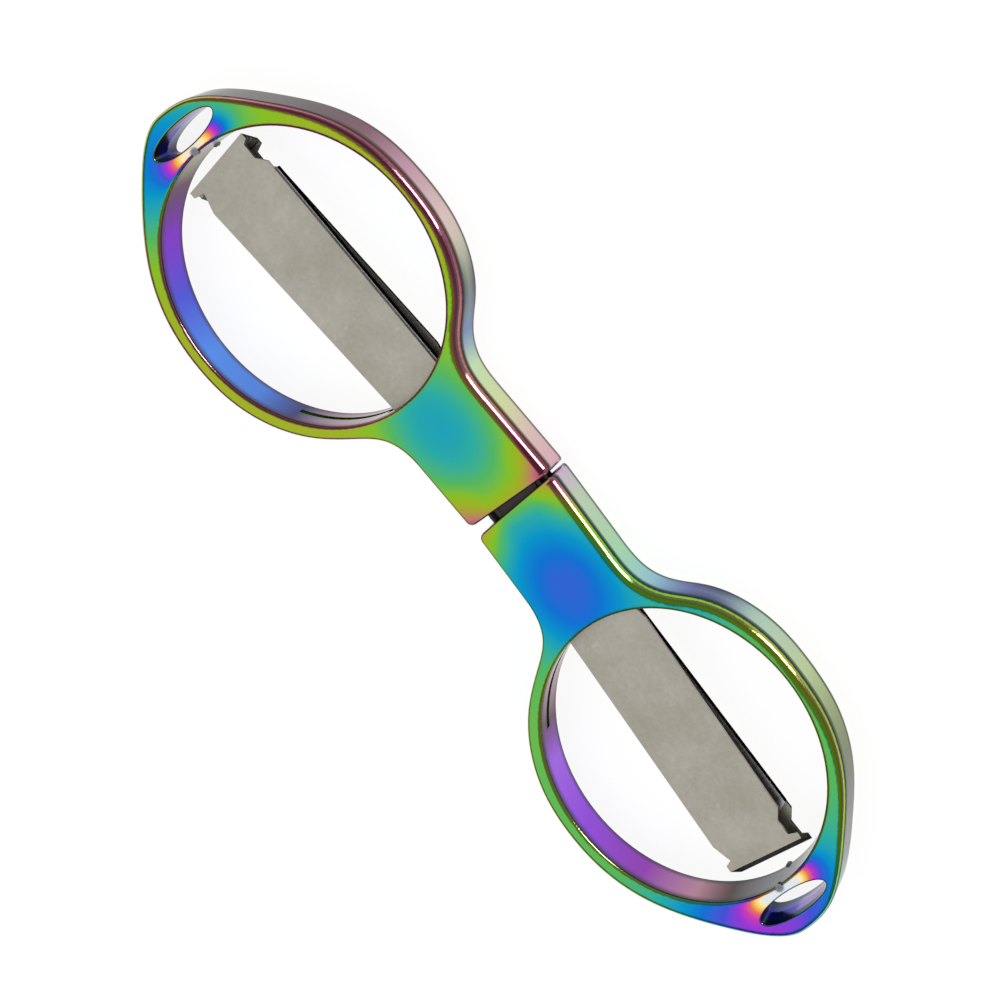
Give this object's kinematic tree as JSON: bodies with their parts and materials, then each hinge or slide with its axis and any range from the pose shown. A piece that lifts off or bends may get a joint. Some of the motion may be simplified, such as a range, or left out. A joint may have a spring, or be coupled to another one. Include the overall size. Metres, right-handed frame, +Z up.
{
  "type": "folding scissors",
  "caption": "Folding telescoping scissors: loop handles slide out along sheet arms, then swing about a central rivet to work the blades nested inside.",
  "frame": {"origin": "middle of the folded scissors' footprint, on the surface they lie on", "axes": "+X along the folded length towards the right half, +Y towards the side where the loops close together in use, +Z up through the front face"},
  "size_m": [0.0826, 0.0236, 0.0054],
  "materials": {
    "left_rainbow_coat": "polished iridescent vapour coating, teal and green with pink and maroon edges",
    "right_rainbow_coat": "polished iridescent vapour coating, blue and teal with green and purple edges",
    "guard_steel": "dull grey stainless sheet, tumbled",
    "blade_steel": "ground stainless steel",
    "rivet_steel": "turned steel"
  },
  "bodies": {
    "left_arm": {"left_guard": "guard_steel", "left_blade": "blade_steel", "left_inner_tang_rivet": "rivet_steel", "left_outer_tang_rivet": "rivet_steel", "pivot_rivet": "rivet_steel", "front_pivot_washer": "rivet_steel", "back_pivot_washer": "rivet_steel"},
    "right_arm": {"right_guard": "guard_steel", "right_blade": "blade_steel", "right_inner_tang_rivet": "rivet_steel", "right_outer_tang_rivet": "rivet_steel"},
    "left_handle": {"left_handle": "left_rainbow_coat"},
    "right_handle": {"right_handle": "right_rainbow_coat"}
  },
  "joints": [
    {"name": "pivot", "type": "hinge", "parent": "left_arm", "child": "right_arm", "pos_m": [0, 0.00207, 0.0027], "axis": [0, 0, 1], "range_deg": [0, 158]},
    {"name": "left_handle_slide", "type": "slide", "parent": "left_arm", "child": "left_handle", "axis": [-0.9978, -0.0663, 0], "range_m": [0, 0.022]},
    {"name": "right_handle_slide", "type": "slide", "parent": "right_arm", "child": "right_handle", "axis": [0.9978, -0.0663, 0], "range_m": [0, 0.022]}
  ],
  "couplings": [
    {"joint": "left_handle_slide", "follows": "pivot", "m_per_rad": 0.007975},
    {"joint": "right_handle_slide", "follows": "pivot", "m_per_rad": 0.007975}
  ]
}
